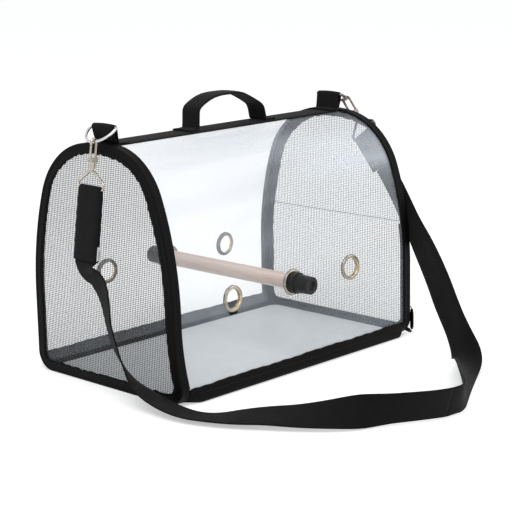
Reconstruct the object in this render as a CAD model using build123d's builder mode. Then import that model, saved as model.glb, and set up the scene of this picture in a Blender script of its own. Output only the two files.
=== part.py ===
from build123d import *

import os
from math import asin, atan2, cos, degrees, hypot, radians, sin, sqrt, tan

# Bird travel carrier: a clear soft tunnel on two arched ends, with a perch, a zipped end flap,
# a carry handle and a clip-on shoulder strap. Millimetres, +Z up, origin under the middle of the
# base. X runs along the tunnel with the zipped end at +X, and the front wall faces -Y.

os.makedirs("parts", exist_ok=True)

# Overall size, over the bindings
length = 425.0
width = 265.0
height = 300.0

# Arch of the two ends: corner, straight side, then three tangent arcs up to the crown
corner_radius = 24.0
side_rise = 200.0
side_radius = 400.0
shoulder_radius = 100.0
crown_radius = 190.0

# Sheets and bindings
film = 0.8
mesh_thickness = 1.0
binding_thickness = 3.0
binding_width = 13.5
binding_round = 2.5
seam_gap = 0.1
soft_gap = 0.2
base_binding_rise = 16.0
base_binding_run = 32.5
base_panel_thickness = 2.5
board_thickness = 3.0
board_inset = 22.5
board_end_gap = 11.7
board_corner = 12.0
board_round = 0.8

# The clear walls bow inwards between the ends
window_foot = 8.0
bow_lap = 0.5
waist_shoulder = 80.0
waist_pinch = 16.0
eyelet_pinch = 14.0
waist_slope = 3.4
waist_lean = 1.8

# Hoop wires in the ends
hoop_wire = 4.0
hoop_inset = 6.1
near_hoop_setback = 6.7
far_hoop_setback = 8.9

# Webbing
webbing = 1.9
webbing_width = 38.0
stitch_gap = 0.2

# Handle
handle_width = 30.0
handle_thickness = 2.8
handle_base = 60.0
handle_foot = 17.0
handle_rise = 41.5
handle_corner = 1.2
handle_foot_bend = 3.0
handle_line = [
    (-59.0, 14.0, 8.0),
    (-30.0, 0.0, 50.0),
    (20.0, 0.5, 80.0),
    (56.0, 20.0, 22.0),
]

# Eyelets and perch
eyelet_spacing = 108.0
eyelet_rise = 10.0
eyelet_bore = 12.0
eyelet_barrel = 13.0
eyelet_flange = 16.5
eyelet_lip = 1.7
eyelet_washer = 1.4
eyelet_round = 1.2
eyelet_cutter = 20.0
film_slack_out = 0.3
film_slack_in = 0.8
film_hole_clearance = 0.4
film_cutter = 12.0
perch_radius = 10.0
perch_chamfer = 0.8
cap_fit = 0.1
cap_plug_clearance = 0.3
cap_plug_depth = 5.0
cap_seat_gap = 0.3
cap_collar_radius = 13.6
cap_collar = 8.0
cap_length = 30.0
cap_root_radius = 11.9
cap_tip_radius = 11.2
cap_end_wall = 6.0
cap_recess_radius = 6.0
cap_recess = 2.5
cap_recess_taper = 1.0
cap_round = 0.8

# Zip and flap in the far end
flap_top = 155.0
flap_seam = 0.3
frame_lip = 5.0
tape_thickness = 0.9
tape_width = 5.0
coil_width = 1.6
coil_height = 1.9
coil_gap = 1.2
tape_coil_gap = 0.4
frame_coil_inset = 7.2
tape_setback = 0.2
flap_mesh_lap = 1.2
slider_plate = 1.6
slider_inner_plate = 1.3
slider_width = 8.0
slider_length = 16.0
slider_corner = 2.4
slider_end_room = 2.0
slider_side_room = 4.0
slider_cutter = 12.0
slider_gap = 0.4
slider_web_gap = 0.2
slider_web_length = 10.0
bridge_width = 2.2
bridge_length = 9.0
bridge_post = 1.5
bridge_room = 2.0
bridge_thickness = 1.2
upper_slider_z = 37.0
lower_slider_y = -96.0
pull_length = 29.0
lower_pull_length = 21.0
pull_width = 7.5
pull_thickness = 1.3
pull_window = 8.2
pull_window_width = 3.4
pull_corner = 2.0
pull_setback = 1.8

# D-rings and their tabs
tab_setback = 12.0
tab_rise = 18.5
tab_stem = 0.4
tab_stem_drop = 0.7
tab_foot_length = 20.0
tab_loop_clearance = 0.4
ring_wire = 3.6
ring_half_width = 22.0
ring_side = 4.0
ring_corner = 3.0

# Swivel hooks
hook_wire = 3.2
hook_opening = 6.0
hook_seat_gap = 0.35
hook_nose = 3.5
hook_block_top = 19.0
hook_block = 5.0
hook_block_width = 12.4
hook_block_depth = 6.8
hook_root = 1.0
gate_pin_radius = 0.75
gate_pin_clearance = 0.2
gate_radius = 1.4
gate_eye_radius = 1.9
gate_pin_drop = 1.7
gate_slot = 3.4
gate_relief = 4.0
gate_gap = 0.9
barrel_radius = 4.0
barrel_length = 7.0
barrel_head_radius = 2.9
barrel_neck_radius = 1.9
barrel_cover = 1.2
barrel_floor = 2.8
swivel_clearance = 0.4
eye_top = 35.0
eye_shoulder = 47.5
eye_bar = 55.0
eye_neck = 4.0
eye_half_width = 22.0
eye_corner = 3.0
eye_shoulder_corner = 5.0

# Strap ends and slide
fold_clearance = 0.7
near_fold_length = 85.5
far_fold_length = 50.0
far_fold_stitching = 2.0
slide_length = 18.0
slide_width = 46.0
slide_thickness = 3.0
slide_bar = 3.0
slide_setback = 1.5
slide_corner = 3.0
slot_corner = 1.0
strap_core = 9.8
bend_share = 0.45

# Directions of the two hanging ends: angle of the ring below level, where the hook sits round
# the ring, and the line of the hook
near_ring_drop = 37.0
near_ring_turn = 12.0
near_line = Vector(-0.136, 0.011, -0.991).normalized()
far_ring_drop = 25.0
far_ring_turn = 40.0
far_line = Vector(0.02, -0.60, -0.80).normalized()

# Routes of the two halves of the strap, below the slide and below the sewn far end. Each point is
# given by how far it lies outside its own end of the tunnel, then by Y and Z.
near_lead = 13.0
near_route = [
    (25.5, -19, 135),
    (23.5, -30, 112),
    (21.5, -37, 86),
    (19.5, -46, 58),
    (18.5, -62, 35),
    (19.5, -90, 19),
    (20.5, -128, 11),
    (18.5, -163, 7),
    (9.5, -192, 5.5),
    (-4.5, -223, 5.5),
    (-19.5, -248, 7.5),
    (-40.5, -281, 11),
    (-66.5, -317, 15),
    (-96.5, -350, 18.8),
    (-126.5, -371, 20),
    (-154.5, -385, 20),
]
far_lead = 30.0
far_route = [
    (8.5, -117, 173),
    (4.5, -139, 147),
    (-22.5, -172, 120),
    (-41.5, -202, 95),
    (-57.0, -233, 68),
    (-70.5, -265, 38),
    (-83.5, -290, 15),
    (-114.5, -310, 10),
    (-150.5, -336, 14),
    (-182.5, -361, 18.5),
    (-209.5, -383, 19.3),
    (-232.5, -392, 19.5),
]

# Positions worked out from the sizes above
end_x = length / 2
lip_x = end_x - binding_thickness
shell_x = end_x - binding_width
half_width = width / 2
side_height = height - side_rise
eyelet_height = side_height + eyelet_rise
handle_top = height + handle_rise
tab_x = end_x - tab_setback
tab_bar_z = height + tab_rise
crown_z = height - crown_radius
strip_bottom = binding_thickness
strip_top = strip_bottom - webbing
window_outer = binding_thickness + seam_gap
window_inner = window_outer + film
bow_x = shell_x - bow_lap
eyelet_stations = {
    "near": (-eyelet_spacing, eyelet_pinch, waist_slope, waist_lean),
    "mid": (0.0, waist_pinch, 0.0, 0.0),
    "far": (eyelet_spacing, eyelet_pinch, -waist_slope, waist_lean),
}


def arch_turns(half, shoulder):
    """Directions in which the side arc ends and the shoulder arc ends, in degrees."""
    side_y = half - side_radius
    run, rise = -side_y, crown_z - side_height
    span = hypot(run, rise)
    to_side, to_crown = side_radius - shoulder, crown_radius - shoulder
    along = (to_side**2 - to_crown**2 + span**2) / (2 * span)
    across = sqrt(to_side**2 - along**2)
    centre_y = side_y + (along * run - across * rise) / span
    centre_z = side_height + (along * rise + across * run) / span
    side_turn = degrees(atan2(centre_z - side_height, centre_y - side_y))
    crown_turn = degrees(atan2(centre_z - crown_z, centre_y))
    return side_turn, crown_turn


def arch_face(inset):
    """The whole end arch, moved inwards by an inset."""
    side_turn, crown_turn = arch_turns(half_width, shoulder_radius)
    with BuildSketch() as face:
        with BuildLine():
            base = Line((0, inset), (half_width - corner_radius, inset))
            corner = JernArc(base @ 1, base % 1, corner_radius - inset, 90)
            side = Line(corner @ 1, (half_width - inset, side_height))
            bend = JernArc(side @ 1, side % 1, side_radius - inset, side_turn)
            turn = JernArc(bend @ 1, bend % 1, shoulder_radius - inset, crown_turn - side_turn)
            JernArc(turn @ 1, turn % 1, crown_radius - inset, 90 - crown_turn)
            mirror(about=Plane.YZ)
        make_face()
    return face.sketch


def wall_line(inset, pinch):
    """One side of the tunnel from its foot to the crown, drawn in a waist of the given pinch."""
    waist = half_width - pinch
    shoulder = shoulder_radius + (waist_shoulder - shoulder_radius) * pinch / waist_pinch
    side_turn, crown_turn = arch_turns(waist, shoulder)
    drop = side_height - corner_radius
    with BuildLine() as wall:
        if pinch:
            flare = (drop**2 + pinch**2) / (2 * pinch) + inset
            flank = JernArc((waist - inset, side_height), (0, -1), flare, degrees(asin(drop / flare)))
        else:
            flank = Line((waist - inset, side_height), (waist - inset, corner_radius))
        curl = corner_radius - inset
        foot = JernArc(flank @ 1, (0, -1), curl, -degrees(asin((corner_radius - window_foot) / curl)))
        bend = JernArc(flank @ 0, (0, 1), side_radius - inset, side_turn)
        turn = JernArc(bend @ 1, bend % 1, shoulder - inset, crown_turn - side_turn)
        JernArc(turn @ 1, turn % 1, crown_radius - inset, 90 - crown_turn)
    return wall.line, foot @ 1, Vector(0, height - inset)


def window_section(pinch):
    """Cut through one clear wall: film between two like lines."""
    outer, outer_foot, outer_crown = wall_line(window_outer, pinch)
    inner, inner_foot, inner_crown = wall_line(window_inner, pinch)
    with BuildSketch() as section:
        with BuildLine():
            add(outer)
            Line(outer_crown, inner_crown)
            add(inner)
            Line(inner_foot, outer_foot)
        make_face()
    return section.sketch


def crown_band(half, outer, inner):
    """A strip lying along the crown, in section."""
    with BuildSketch() as band:
        with Locations((0, crown_z)):
            Circle(crown_radius - outer)
            Circle(crown_radius - inner, mode=Mode.SUBTRACT)
            Rectangle(2 * half, crown_radius, align=(Align.CENTER, Align.MIN), mode=Mode.INTERSECT)
    return band.sketch


def eyelet_plane(side, station):
    """Seat of an eyelet on the outside of a clear wall, facing outwards."""
    x, pinch, slope, lean = eyelet_stations[station]
    reach = side_radius - window_outer
    y = half_width - pinch - side_radius + sqrt(reach**2 - (eyelet_height - side_height) ** 2)
    outwards = Vector(tan(radians(slope)), side, tan(radians(lean)))
    return Plane(origin=(x, side * y, eyelet_height), x_dir=(0, 0, 1), z_dir=outwards)


def below(sketch, level):
    """The part of a sketch under a level."""
    with BuildSketch() as lower:
        add(sketch)
        Rectangle(2 * width, level, align=(Align.CENTER, Align.MIN), mode=Mode.INTERSECT)
    return lower.sketch


def zip_band(outer, inner, level):
    """The band between two insets of the arch, under a level."""
    with BuildSketch() as band:
        add(arch_face(outer))
        add(arch_face(inner), mode=Mode.SUBTRACT)
    return below(band.sketch, level)


def finish(piece, name):
    """Name a finished piece and write it."""
    piece.part.label = name
    export_step(piece.part, f"parts/{name}.step")


# End bindings: a lip on the face and a lip on the shell, with a rounded outer edge
with BuildPart() as near_end_binding:
    with BuildSketch(Plane.YZ.offset(-end_x)):
        add(arch_face(0))
        add(arch_face(binding_width), mode=Mode.SUBTRACT)
    extrude(amount=binding_thickness)
    with BuildSketch(Plane.YZ.offset(-lip_x)):
        add(arch_face(0))
        add(arch_face(binding_thickness), mode=Mode.SUBTRACT)
    extrude(amount=lip_x - shell_x)
    fillet(near_end_binding.faces().sort_by(Axis.X)[0].outer_wire().edges(), binding_round)
finish(near_end_binding, "near_end_binding")

with BuildPart() as far_end_binding:
    with BuildSketch(Plane.YZ.offset(lip_x)):
        add(arch_face(0))
        add(arch_face(binding_width), mode=Mode.SUBTRACT)
    extrude(amount=binding_thickness)
    with BuildSketch(Plane.YZ.offset(lip_x)):
        add(below(arch_face(frame_lip), flap_top + flap_seam / 2))
    extrude(amount=binding_thickness, mode=Mode.SUBTRACT)
    with BuildSketch(Plane.YZ.offset(shell_x)):
        add(arch_face(0))
        add(arch_face(binding_thickness), mode=Mode.SUBTRACT)
    extrude(amount=lip_x - shell_x)
    fillet(far_end_binding.faces().sort_by(Axis.X)[-1].outer_wire().edges(), binding_round)
finish(far_end_binding, "far_end_binding")

# Base: bindings along the two long edges, the bottom panel between them and a loose stiff board
with BuildPart() as front_base_binding:
    with BuildSketch(Plane.YZ.offset(-bow_x)):
        add(arch_face(0))
        add(arch_face(binding_thickness), mode=Mode.SUBTRACT)
        with Locations((-half_width, 0)):
            Rectangle(
                base_binding_run,
                base_binding_rise,
                align=(Align.MIN, Align.MIN),
                mode=Mode.INTERSECT,
            )
    extrude(amount=2 * bow_x)
finish(front_base_binding, "front_base_binding")

with BuildPart() as rear_base_binding:
    add(front_base_binding.part.mirror(Plane.XZ))
finish(rear_base_binding, "rear_base_binding")

with BuildPart() as base_panel:
    Box(
        2 * bow_x,
        width - 2 * base_binding_run,
        base_panel_thickness,
        align=(Align.CENTER, Align.CENTER, Align.MIN),
    )
finish(base_panel, "base_panel")

with BuildPart() as floor_board:
    with BuildSketch(Plane.XY.offset(binding_thickness + soft_gap)):
        RectangleRounded(length - 2 * board_end_gap, width - 2 * board_inset, board_corner)
    extrude(amount=board_thickness)
    fillet(floor_board.edges().group_by(Axis.Z)[-1], board_round)
finish(floor_board, "floor_board")

# Clear walls: bowed inwards between the ends, flat where the bindings hold them
with BuildPart() as rear_window:
    for x, pinch in (
        (-bow_x, 0),
        (-eyelet_spacing, eyelet_pinch),
        (0, waist_pinch),
        (eyelet_spacing, eyelet_pinch),
        (bow_x, 0),
    ):
        with BuildSketch(Plane.YZ.offset(x)):
            add(window_section(pinch))
    loft()
    for side in (-1, 1):
        with BuildSketch(Plane.YZ.offset(side * bow_x)):
            add(window_section(0))
        extrude(amount=side * (lip_x - 2 * soft_gap - mesh_thickness - bow_x))
    for station in eyelet_stations:
        with Locations(eyelet_plane(1, station)):
            Cylinder(eyelet_barrel + film_hole_clearance, film_cutter, mode=Mode.SUBTRACT)
finish(rear_window, "rear_window")

with BuildPart() as front_window:
    add(rear_window.part.mirror(Plane.XZ))
finish(front_window, "front_window")

# Mesh ends
with BuildPart() as near_mesh_panel:
    with BuildSketch(Plane.YZ.offset(-lip_x + soft_gap)):
        add(arch_face(binding_thickness + soft_gap))
    extrude(amount=mesh_thickness)
finish(near_mesh_panel, "near_mesh_panel")

with BuildPart() as far_mesh_upper:
    with BuildSketch(Plane.YZ.offset(lip_x - soft_gap - mesh_thickness)):
        add(arch_face(binding_thickness + soft_gap))
        add(below(arch_face(0), flap_top + flap_seam / 2), mode=Mode.SUBTRACT)
    extrude(amount=mesh_thickness)
finish(far_mesh_upper, "far_mesh_upper")

# Spring wire hoops that hold the ends open
for name, hoop_x in (
    ("near_hoop", near_hoop_setback - end_x),
    ("far_hoop", end_x - far_hoop_setback),
):
    with BuildPart() as hoop:
        hoop_path = arch_face(hoop_inset).face().outer_wire()
        hoop_path = Plane.YZ.offset(hoop_x).from_local_coords(hoop_path)
        with BuildSketch(Plane(origin=(hoop_x, 0, hoop_inset), x_dir=(1, 0, 0), z_dir=(0, 1, 0))):
            Circle(hoop_wire / 2)
        sweep(path=hoop_path)
    finish(hoop, name)

# Webbing along the crown
with BuildPart() as ridge_strip:
    with BuildSketch(Plane.YZ.offset(-bow_x)):
        add(crown_band(webbing_width / 2, strip_top, strip_bottom))
    extrude(amount=2 * bow_x)
finish(ridge_strip, "ridge_strip")

# Carry handle: one length of doubled webbing, its two feet sewn to the crown strip
handle_foot_z = height - strip_top + stitch_gap + handle_thickness / 2
handle_crest = handle_top - handle_thickness / 2
with BuildPart() as handle:
    with BuildLine() as handle_path:
        FilletPolyline(
            (-handle_base - handle_foot, 0, handle_foot_z),
            (-handle_base, 0, handle_foot_z),
            *[(along, 0, handle_crest - drop) for along, drop, bend in handle_line],
            (handle_base, 0, handle_foot_z),
            (handle_base + handle_foot, 0, handle_foot_z),
            radius=(handle_foot_bend, *[bend for along, drop, bend in handle_line], handle_foot_bend),
        )
    with BuildSketch(Plane(origin=handle_path.line @ 0, x_dir=(0, 1, 0), z_dir=handle_path.line % 0)):
        RectangleRounded(handle_width, handle_thickness, handle_corner)
    sweep(path=handle_path.line)
finish(handle, "handle")

# Eyelets: one crimped piece each, three to a wall
for wall, side in (("front", -1), ("rear", 1)):
    for station in eyelet_stations:
        eyelet_seat = eyelet_plane(side, station)
        washer_top = -film - film_slack_in
        with BuildPart() as eyelet:
            with BuildSketch(eyelet_seat.offset(washer_top - eyelet_washer)):
                Circle(eyelet_barrel)
            extrude(amount=film_slack_out + eyelet_lip - washer_top + eyelet_washer)
            with BuildSketch(eyelet_seat.offset(film_slack_out)):
                Circle(eyelet_flange)
            extrude(amount=eyelet_lip)
            with BuildSketch(eyelet_seat.offset(washer_top - eyelet_washer)):
                Circle(eyelet_flange)
            extrude(amount=eyelet_washer)
            outer_face = eyelet.faces().sort_by(Axis(eyelet_seat.origin, eyelet_seat.z_dir))[-1]
            fillet(outer_face.outer_wire().edges(), eyelet_round)
            with Locations(eyelet_seat):
                Cylinder(eyelet_bore, eyelet_cutter, mode=Mode.SUBTRACT)
        finish(eyelet, f"{wall}_{station}_eyelet")

# Perch: a wooden rod through the two middle eyelets, with a rubber cap plugged on each end
cap_seat = -eyelet_plane(-1, "mid").origin.Y + film_slack_out + eyelet_lip + cap_seat_gap
with BuildPart() as perch_rod:
    with BuildSketch(Plane.XZ.offset(-cap_seat - cap_length + cap_end_wall)):
        with Locations((0, eyelet_height)):
            Circle(perch_radius)
    extrude(amount=2 * (cap_seat + cap_length - cap_end_wall))
    chamfer(perch_rod.edges().filter_by(GeomType.CIRCLE), perch_chamfer)
finish(perch_rod, "perch_rod")

with BuildPart() as front_perch_cap:
    with BuildSketch(Plane(origin=(0, -cap_seat, eyelet_height), x_dir=(0, -1, 0), z_dir=(1, 0, 0))):
        bore = perch_radius + cap_fit
        plug = eyelet_bore - cap_plug_clearance
        with BuildLine():
            Polyline(
                (-cap_plug_depth, bore),
                (-cap_plug_depth, plug),
                (0, plug),
                (0, cap_collar_radius - cap_round),
                (cap_round, cap_collar_radius),
                (cap_collar - cap_round, cap_collar_radius),
                (cap_collar, cap_collar_radius - cap_round),
                (cap_collar, cap_root_radius),
                (cap_length - cap_round, cap_tip_radius),
                (cap_length, cap_tip_radius - cap_round),
                (cap_length, cap_recess_radius),
                (cap_length - cap_recess, cap_recess_radius - cap_recess_taper),
                (cap_length - cap_recess, 0),
                (cap_length - cap_end_wall + cap_fit, 0),
                (cap_length - cap_end_wall + cap_fit, bore),
                close=True,
            )
        make_face()
    revolve(axis=Axis((0, 0, eyelet_height), (0, 1, 0)))
finish(front_perch_cap, "front_perch_cap")

with BuildPart() as rear_perch_cap:
    add(front_perch_cap.part.mirror(Plane.XZ))
finish(rear_perch_cap, "rear_perch_cap")

# Zip round three sides of the flap: tape and coil on the frame, tape and coil on the flap
tape_x = lip_x - tape_setback - tape_thickness
flap_coil_inset = frame_coil_inset + coil_width + coil_gap
zip_centre = frame_coil_inset + coil_width + coil_gap / 2
frame_tape_outer = frame_coil_inset + coil_width - tape_width
frame_tape_inner = frame_coil_inset + coil_width - tape_coil_gap
with BuildPart() as frame_zip:
    with BuildSketch(Plane.YZ.offset(tape_x)):
        add(zip_band(frame_tape_outer, frame_tape_inner, flap_top))
    extrude(amount=tape_thickness)
    with BuildSketch(Plane.YZ.offset(tape_x)):
        add(zip_band(frame_coil_inset, frame_coil_inset + coil_width, flap_top))
    extrude(amount=tape_thickness + coil_height)
finish(frame_zip, "frame_zip")

slider_places = {
    "upper": Plane(
        origin=(tape_x, zip_centre - half_width, upper_slider_z), x_dir=(0, 0, 1), z_dir=(1, 0, 0)
    ),
    "lower": Plane(origin=(tape_x, lower_slider_y, zip_centre), x_dir=(0, 1, 0), z_dir=(1, 0, 0)),
}
with BuildPart() as flap_zip:
    with BuildSketch(Plane.YZ.offset(tape_x)):
        add(zip_band(flap_coil_inset + tape_coil_gap, flap_coil_inset + tape_width, flap_top - flap_seam / 2))
    extrude(amount=tape_thickness)
    with BuildSketch(Plane.YZ.offset(tape_x)):
        add(zip_band(flap_coil_inset, flap_coil_inset + coil_width, flap_top - flap_seam / 2))
    extrude(amount=tape_thickness + coil_height)
    for place in slider_places.values():
        with Locations(place):
            Box(
                slider_length + slider_end_room,
                slider_width + slider_side_room,
                slider_cutter,
                mode=Mode.SUBTRACT,
            )
finish(flap_zip, "flap_zip")

with BuildPart() as flap_mesh:
    with BuildSketch(Plane.YZ.offset(tape_x + tape_thickness + seam_gap)):
        lapped = flap_coil_inset + tape_width - flap_mesh_lap
        add(below(arch_face(lapped), flap_top - flap_seam / 2))
    extrude(amount=mesh_thickness)
finish(flap_mesh, "flap_mesh")

pull_reaches = {"upper": pull_length, "lower": lower_pull_length}
plate_base = tape_thickness + coil_height + slider_gap
for which, place in slider_places.items():
    pull_reach = pull_reaches[which]
    with BuildPart() as slider:
        with BuildSketch(place.offset(plate_base)):
            RectangleRounded(slider_length, slider_width, slider_corner)
        extrude(amount=slider_plate)
        with BuildSketch(place.offset(-soft_gap - seam_gap - slider_inner_plate)):
            RectangleRounded(slider_length, slider_width, slider_corner)
        extrude(amount=slider_inner_plate)
        with BuildSketch(place.offset(-soft_gap - seam_gap)):
            Rectangle(slider_web_length, coil_gap - 2 * slider_web_gap)
        extrude(amount=plate_base + soft_gap + seam_gap)
        with BuildSketch(place.offset(plate_base + slider_plate)):
            Rectangle(bridge_length, bridge_width)
        extrude(amount=bridge_room + bridge_thickness)
        with BuildSketch(place.offset(plate_base + slider_plate)):
            Rectangle(bridge_length - 2 * bridge_post, bridge_width)
        extrude(amount=bridge_room, mode=Mode.SUBTRACT)
    finish(slider, f"{which}_slider")
    pivot = place.offset(plate_base + slider_plate + bridge_room / 2)
    pivot.origin = pivot.from_local_coords(Vector(-pull_setback, 0, 0))
    with BuildPart() as pull:
        with BuildSketch(pivot.offset(-pull_thickness / 2)):
            with Locations((pull_thickness / 2 - pull_reach / 2, 0)):
                RectangleRounded(pull_reach, pull_width, pull_corner)
            with Locations((-pull_thickness / 2 - pull_window / 2, 0)):
                Rectangle(pull_window, pull_window_width, mode=Mode.SUBTRACT)
        extrude(amount=pull_thickness)
    print(which, "pull turns at", pivot.origin, "about", pivot.y_dir)
    finish(pull, f"{which}_pull")

# Tabs, D-rings, hooks and strap ends, one set at each end
strap_starts = {}
for end, sign, drop, turn, line, fold_length in (
    ("near", -1, near_ring_drop, near_ring_turn, near_line, near_fold_length),
    ("far", 1, far_ring_drop, far_ring_turn, far_line, far_fold_length),
):
    out = Vector(sign * cos(radians(drop)), 0, -sin(radians(drop)))
    bar_seat = Vector(sign * tab_x, 0, tab_bar_z)
    loop_radius = ring_wire / 2 + tab_loop_clearance
    with BuildPart() as tab:
        with BuildSketch(Plane.YZ.offset(sign * bow_x)):
            foot_bottom = strip_top - stitch_gap
            add(crown_band(webbing_width / 2, foot_bottom - webbing, foot_bottom))
        extrude(amount=-sign * tab_foot_length)
        with BuildSketch(Plane.XZ):
            stem_x = sign * (bow_x - webbing)
            with Locations((stem_x, height - foot_bottom + tab_stem_drop)):
                Rectangle(2 * webbing, tab_stem)
            with Locations((sign * tab_x, tab_bar_z)):
                Circle(loop_radius + webbing)
            make_hull()
            with Locations((sign * tab_x, tab_bar_z)):
                Circle(loop_radius, mode=Mode.SUBTRACT)
        extrude(amount=webbing_width / 2, both=True)
    finish(tab, f"{end}_tab")

    ring_plane = Plane(origin=bar_seat, x_dir=(0, 1, 0), z_dir=Vector(0, 1, 0).cross(out))
    with BuildPart() as d_ring:
        with BuildLine(ring_plane) as ring_path:
            ring_bar = Line((ring_corner - ring_half_width, 0), (ring_half_width - ring_corner, 0))
            first = JernArc(ring_bar @ 1, ring_bar % 1, ring_corner, 90)
            up = Line(first @ 1, (first @ 1) + (first % 1) * (ring_side - ring_corner))
            bow = JernArc(up @ 1, up % 1, ring_half_width, 180)
            down = Line(bow @ 1, (bow @ 1) + (bow % 1) * (ring_side - ring_corner))
            JernArc(down @ 1, down % 1, ring_corner, 90)
        with BuildSketch(Plane(origin=ring_bar @ 0, z_dir=ring_bar % 0)):
            Circle(ring_wire / 2)
        sweep(path=ring_path.wire())
    finish(d_ring, f"{end}_d_ring")

    # The hook hangs in a plane square to the ring wire where it sits
    across = Vector(0, -1, 0)
    hook_seat = bar_seat + out * (ring_side + ring_half_width * cos(radians(turn)))
    hook_seat += across * ring_half_width * sin(radians(turn))
    tangent = out * -sin(radians(turn)) + across * cos(radians(turn))
    facing = line.cross(tangent).normalized()
    if facing.X * sign < 0:
        facing = -facing
    hook_plane = Plane(origin=hook_seat, x_dir=facing, z_dir=facing.cross(-line))
    half_loop = (hook_opening + hook_wire) / 2
    apex = ring_wire / 2 + hook_seat_gap + hook_wire / 2
    loop_centre = apex - half_loop
    pin_y = -hook_block_top - gate_pin_drop
    block_bottom = -hook_block_top - hook_block
    gate_relief_width = 2 * gate_eye_radius + 2 * gate_pin_clearance
    with BuildPart() as hook_body:
        with BuildLine(hook_plane) as hook_path:
            nose = Line((half_loop, -hook_nose), (half_loop, loop_centre))
            top = JernArc(nose @ 1, nose % 1, half_loop, 180)
            Line(top @ 1, (top @ 1) + (top % 1) * (hook_block_top + loop_centre + hook_root))
        with BuildSketch(Plane(origin=nose @ 0, z_dir=nose % 0)):
            Circle(hook_wire / 2)
        sweep(path=hook_path.wire())
        with BuildSketch(hook_plane):
            with Locations((0, -hook_block_top)):
                Rectangle(hook_block_width, hook_block, align=(Align.CENTER, Align.MAX))
        extrude(amount=hook_block_depth / 2, both=True)
        with BuildSketch(hook_plane):
            with Locations((half_loop, pin_y)):
                Circle(gate_eye_radius + gate_pin_clearance)
                Rectangle(gate_relief_width, gate_relief, align=(Align.CENTER, Align.MIN))
                Rectangle(gate_relief, gate_relief_width, align=(Align.MIN, Align.CENTER))
        extrude(amount=gate_slot / 2, both=True, mode=Mode.SUBTRACT)
        with BuildSketch(hook_plane):
            with Locations((half_loop, pin_y)):
                Circle(gate_pin_radius)
        extrude(amount=hook_block_depth / 2, both=True)
        with BuildSketch(hook_plane):
            with BuildLine():
                chamber_top = block_bottom - barrel_cover
                chamber_bottom = block_bottom - barrel_length + barrel_floor
                Polyline(
                    (0, block_bottom),
                    (barrel_radius, block_bottom),
                    (barrel_radius, block_bottom - barrel_length),
                    (barrel_neck_radius, block_bottom - barrel_length),
                    (barrel_neck_radius, chamber_bottom),
                    (barrel_head_radius, chamber_bottom),
                    (barrel_head_radius, chamber_top),
                    (0, chamber_top),
                    close=True,
                )
            make_face()
        revolve(axis=Axis(hook_seat, line))
    finish(hook_body, f"{end}_hook_body")

    with BuildPart() as hook_gate:
        with BuildSketch(hook_plane):
            with Locations((half_loop, pin_y)):
                Circle(gate_eye_radius)
        extrude(amount=gate_slot / 2 - gate_pin_clearance, both=True)
        gate_root = hook_plane.from_local_coords(Vector(half_loop, pin_y, 0))
        with BuildSketch(Plane(origin=gate_root, x_dir=facing, z_dir=-line)):
            Circle(gate_radius)
        extrude(amount=-pin_y - hook_nose - gate_gap)
        with BuildSketch(hook_plane):
            with Locations((half_loop, pin_y)):
                Circle(gate_pin_radius + gate_pin_clearance)
        extrude(amount=gate_slot, both=True, mode=Mode.SUBTRACT)
    finish(hook_gate, f"{end}_hook_gate")

    # Wire eye for the strap, its headed stem turning in the barrel
    eye_side = Vector(1, 0, 0).cross(line).normalized()
    eye_plane = Plane(origin=hook_seat, x_dir=eye_side, z_dir=eye_side.cross(-line))
    with BuildPart() as hook_eye:
        with BuildLine(eye_plane) as eye_path:
            FilletPolyline(
                (0, -eye_bar),
                (eye_half_width, -eye_bar),
                (eye_half_width, -eye_shoulder),
                (eye_neck, -eye_top),
                (-eye_neck, -eye_top),
                (-eye_half_width, -eye_shoulder),
                (-eye_half_width, -eye_bar),
                close=True,
                radius=(
                    0,
                    eye_corner,
                    eye_shoulder_corner,
                    eye_corner,
                    eye_corner,
                    eye_shoulder_corner,
                    eye_corner,
                ),
            )
        with BuildSketch(Plane(origin=eye_path.line @ 0, z_dir=eye_path.line % 0)):
            Circle(hook_wire / 2)
        sweep(path=eye_path.wire())
        with BuildSketch(eye_plane):
            head_top = chamber_top - swivel_clearance
            head_bottom = chamber_bottom + swivel_clearance
            with BuildLine():
                Polyline(
                    (0, head_top),
                    (barrel_head_radius - swivel_clearance, head_top),
                    (barrel_head_radius - swivel_clearance, head_bottom),
                    (barrel_neck_radius - swivel_clearance, head_bottom),
                    (barrel_neck_radius - swivel_clearance, -eye_top),
                    (0, -eye_top),
                    close=True,
                )
            make_face()
        revolve(axis=Axis(hook_seat, line))
    finish(hook_eye, f"{end}_hook_eye")

    # Strap end folded round the eye: left open over the slide at the near end, sewn at the far end
    inner_fold = hook_wire / 2 + fold_clearance
    fold_plane = Plane(origin=hook_seat + line * eye_bar, x_dir=(-line).cross(eye_side), z_dir=eye_side)
    with BuildPart() as strap_fold:
        with BuildSketch(fold_plane):
            Circle(inner_fold + webbing)
            if end == "near":
                Rectangle(2 * inner_fold + 2 * webbing, fold_length, align=(Align.CENTER, Align.MAX))
                Circle(inner_fold, mode=Mode.SUBTRACT)
                Rectangle(
                    2 * inner_fold, fold_length, align=(Align.CENTER, Align.MAX), mode=Mode.SUBTRACT
                )
            else:
                with Locations((0, -fold_length / 2)):
                    Rectangle(2 * webbing, far_fold_stitching)
                make_hull()
                with Locations((0, -fold_length / 2)):
                    Rectangle(2 * webbing, fold_length / 2, align=(Align.CENTER, Align.MAX))
                Circle(inner_fold, mode=Mode.SUBTRACT)
        extrude(amount=webbing_width / 2, both=True)
    finish(strap_fold, f"{end}_strap_fold")
    strap_starts[end] = hook_seat + line * (eye_bar + fold_length)
    if end == "near":
        slide_centre = strap_starts[end] - line * (slide_setback + slide_length / 2)
        slide_plane = Plane(origin=slide_centre, x_dir=eye_side, z_dir=eye_side.cross(-line))
    print(end, "hook", hook_seat, "pin", gate_root, "pin axis", hook_plane.z_dir)
    print(end, "strap from", strap_starts[end])

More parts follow.
